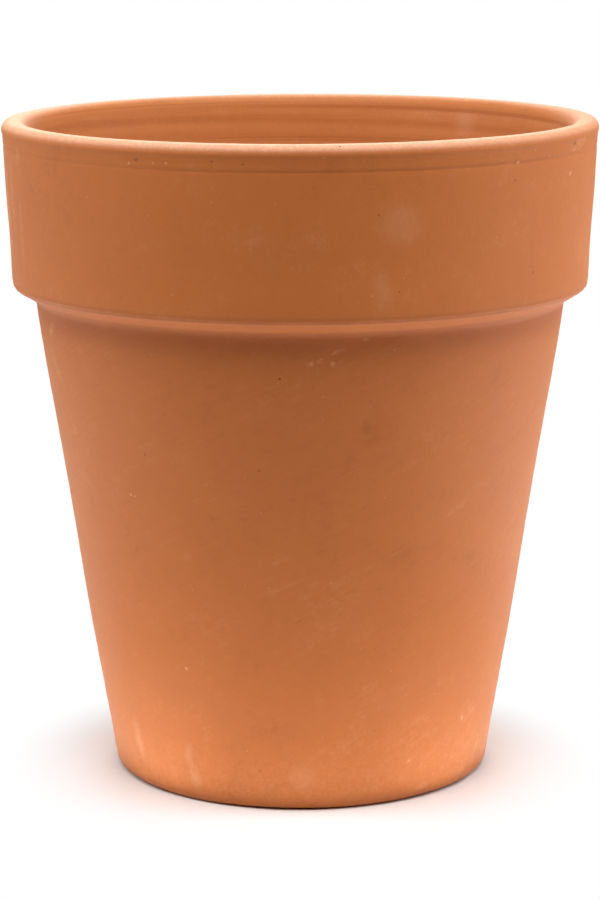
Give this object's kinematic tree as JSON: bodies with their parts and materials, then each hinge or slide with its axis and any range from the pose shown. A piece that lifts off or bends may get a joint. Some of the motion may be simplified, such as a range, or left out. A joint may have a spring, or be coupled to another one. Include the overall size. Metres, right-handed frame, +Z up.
{
  "type": "flower pot",
  "caption": "Tall tapered flower pot in unglazed terracotta, with a deep collar, a rolled lip and a round drainage hole in its floor.",
  "frame": {"origin": "on the pot's axis, in the plane of the foot ring that it stands on", "axes": "+Z up along the pot's axis, from the foot to the lip; the pot is round, so X and Y are any two level directions"},
  "size_m": [0.21, 0.21, 0.234],
  "materials": {
    "terracotta": "unglazed, matt and slightly chalky, with fine throwing rings"
  },
  "bodies": {
    "root": {"pot": "terracotta"}
  },
  "joints": []
}
